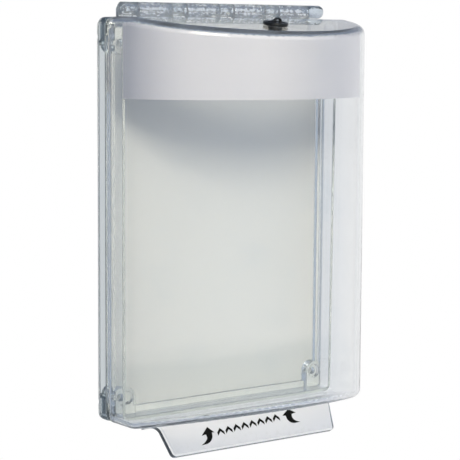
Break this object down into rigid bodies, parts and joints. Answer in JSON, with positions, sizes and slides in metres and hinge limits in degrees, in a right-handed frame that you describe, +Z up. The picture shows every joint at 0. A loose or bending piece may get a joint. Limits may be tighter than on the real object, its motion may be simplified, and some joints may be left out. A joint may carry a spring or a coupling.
{
  "type": "protective dome cover",
  "caption": "Clear wall-mounted protective cover: a bulged dome that lifts on a top hinge over a shallow back box, with a lift tab below and a rubber plug on top.",
  "frame": {"origin": "on the wall plane, at the centre of the four wall screws", "axes": "+X to the right seen from the front, -Y out of the wall towards the user, +Z up"},
  "size_m": [0.163, 0.087, 0.2615],
  "materials": {
    "clear_box": "clear moulded polycarbonate, polished",
    "clear_frame": "clear moulded polycarbonate, polished",
    "clear_dome": "clear moulded polycarbonate, polished",
    "clear_pin": "clear extruded rod, polished",
    "opal_panel": "opal sheet, satin",
    "clear_silicone": "translucent silicone cord",
    "band_film": "translucent film, satin",
    "white_film": "white film with black print, satin",
    "black_rubber": "black rubber, dull"
  },
  "bodies": {
    "base": {"back_box": "clear_box", "back_panel": "opal_panel", "wall_seal": "clear_silicone", "frame_seal": "clear_silicone", "mounting_frame": "clear_frame", "hinge_pin": "clear_pin"},
    "cover": {"dome_cover": "clear_dome", "label_band": "band_film", "tab_film": "white_film"},
    "plug": {"top_plug": "black_rubber"}
  },
  "joints": [
    {"name": "cover_hinge", "type": "hinge", "parent": "base", "child": "cover", "pos_m": [0, -0.014, 0.1225], "axis": [-1, 0, 0], "range_deg": [0, 105]},
    {"name": "plug_pull", "type": "slide", "parent": "cover", "child": "plug", "axis": [0, -0.1501, 0.9887], "range_m": [0, 0.014]}
  ]
}
